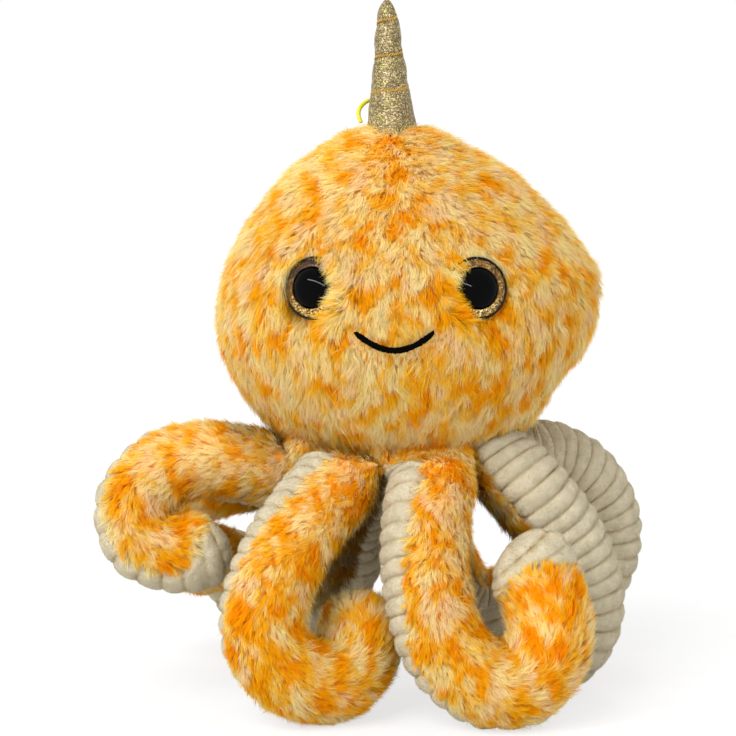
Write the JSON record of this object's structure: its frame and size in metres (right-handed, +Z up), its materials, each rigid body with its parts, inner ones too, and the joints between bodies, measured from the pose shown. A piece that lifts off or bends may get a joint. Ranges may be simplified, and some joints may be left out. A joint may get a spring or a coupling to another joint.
{
  "type": "plush octopus",
  "caption": "Sitting stuffed octopus in orange long-pile plush with ribbed cream arm undersides, button eyes, a stitched smile and a small spiral horn.",
  "frame": {"origin": "on the floor, under the middle of the toy's footprint box", "axes": "+Z up, the face looks along -Y, +X is the viewer's right when looking at the face"},
  "size_m": [0.2741, 0.2265, 0.3426],
  "materials": {
    "orange_plush": "matte",
    "cream_ribbed_plush": "matte",
    "polyester_fibre": "matte",
    "black_button": "gloss",
    "gold_glitter": "satin",
    "white_washer": "matte",
    "black_thread": "satin",
    "gold_cloth": "satin",
    "ochre_thread": "satin",
    "yellow_cord": "satin"
  },
  "bodies": {
    "head": {"head_front_left_panel": "orange_plush", "head_front_right_panel": "orange_plush", "head_back_left_panel": "orange_plush", "head_back_right_panel": "orange_plush", "base_panel": "orange_plush", "head_stuffing": "polyester_fibre", "left_eye": "black_button", "right_eye": "black_button", "left_glitter_ring": "gold_glitter", "right_glitter_ring": "gold_glitter", "left_eye_washer": "white_washer", "right_eye_washer": "white_washer", "mouth_embroidery": "black_thread"},
    "horn": {"horn_cover": "gold_cloth", "horn_stuffing": "polyester_fibre", "horn_thread": "ochre_thread"},
    "hang_loop": {"hang_loop": "yellow_cord"},
    "arm_front_right": {"arm_front_right_plush": "orange_plush", "arm_front_right_ribbed": "cream_ribbed_plush", "arm_front_right_stuffing": "polyester_fibre"},
    "arm_right": {"arm_right_plush": "orange_plush", "arm_right_ribbed": "cream_ribbed_plush", "arm_right_stuffing": "polyester_fibre"},
    "arm_right_rear": {"arm_right_rear_plush": "orange_plush", "arm_right_rear_ribbed": "cream_ribbed_plush", "arm_right_rear_stuffing": "polyester_fibre"},
    "arm_rear_right": {"arm_rear_right_plush": "orange_plush", "arm_rear_right_ribbed": "cream_ribbed_plush", "arm_rear_right_stuffing": "polyester_fibre"},
    "arm_rear_left": {"arm_rear_left_plush": "orange_plush", "arm_rear_left_ribbed": "cream_ribbed_plush", "arm_rear_left_stuffing": "polyester_fibre"},
    "arm_left_rear": {"arm_left_rear_plush": "orange_plush", "arm_left_rear_ribbed": "cream_ribbed_plush", "arm_left_rear_stuffing": "polyester_fibre"},
    "arm_left": {"arm_left_plush": "orange_plush", "arm_left_ribbed": "cream_ribbed_plush", "arm_left_stuffing": "polyester_fibre"},
    "arm_front_left": {"arm_front_left_plush": "orange_plush", "arm_front_left_ribbed": "cream_ribbed_plush", "arm_front_left_stuffing": "polyester_fibre"}
  },
  "joints": [
    {"name": "arm_front_right_swing", "type": "hinge", "parent": "head", "child": "arm_front_right", "pos_m": [0.02466, -0.04479, 0.12439], "axis": [-0.9537, -0.3007, 0], "range_deg": [0, 25]},
    {"name": "arm_right_swing", "type": "hinge", "parent": "head", "child": "arm_right", "pos_m": [0.05636, -0.02452, 0.12439], "axis": [-0.4617, -0.887, 0], "range_deg": [-10, 25]},
    {"name": "arm_right_rear_swing", "type": "hinge", "parent": "head", "child": "arm_right_rear", "pos_m": [0.05997, 0.00751, 0.12439], "axis": [0.3007, -0.9537, 0], "range_deg": [-15, 15]},
    {"name": "arm_rear_right_swing", "type": "hinge", "parent": "head", "child": "arm_rear_right", "pos_m": [0.03337, 0.03287, 0.12439], "axis": [0.887, -0.4617, 0], "range_deg": [-8, 25]},
    {"name": "arm_rear_left_swing", "type": "hinge", "parent": "head", "child": "arm_rear_left", "pos_m": [-0.00546, 0.03576, 0.12439], "axis": [0.9537, 0.3007, 0], "range_deg": [-8, 25]},
    {"name": "arm_left_rear_swing", "type": "hinge", "parent": "head", "child": "arm_left_rear", "pos_m": [-0.03248, 0.01448, 0.12439], "axis": [0.4617, 0.887, 0], "range_deg": [-20, 15]},
    {"name": "arm_left_swing", "type": "hinge", "parent": "head", "child": "arm_left", "pos_m": [-0.03556, -0.01789, 0.12439], "axis": [-0.3007, 0.9537, 0], "range_deg": [-12, 10]},
    {"name": "arm_front_left_swing", "type": "hinge", "parent": "head", "child": "arm_front_left", "pos_m": [-0.01288, -0.04204, 0.12439], "axis": [-0.887, 0.4617, 0], "range_deg": [-10, 25]},
    {"name": "horn_tilt", "type": "hinge", "parent": "head", "child": "horn", "pos_m": [0.0084, -0.0055, 0.288], "axis": [1, 0, 0], "range_deg": [-10, 10], "stiffness_Nm_per_rad": 0.05},
    {"name": "hang_loop_swing", "type": "hinge", "parent": "head", "child": "hang_loop", "pos_m": [-0.00085, 0.002, 0.28369], "axis": [-0.8035, -0.5952, 0], "range_deg": [-5, 30], "stiffness_Nm_per_rad": 0.002}
  ]
}
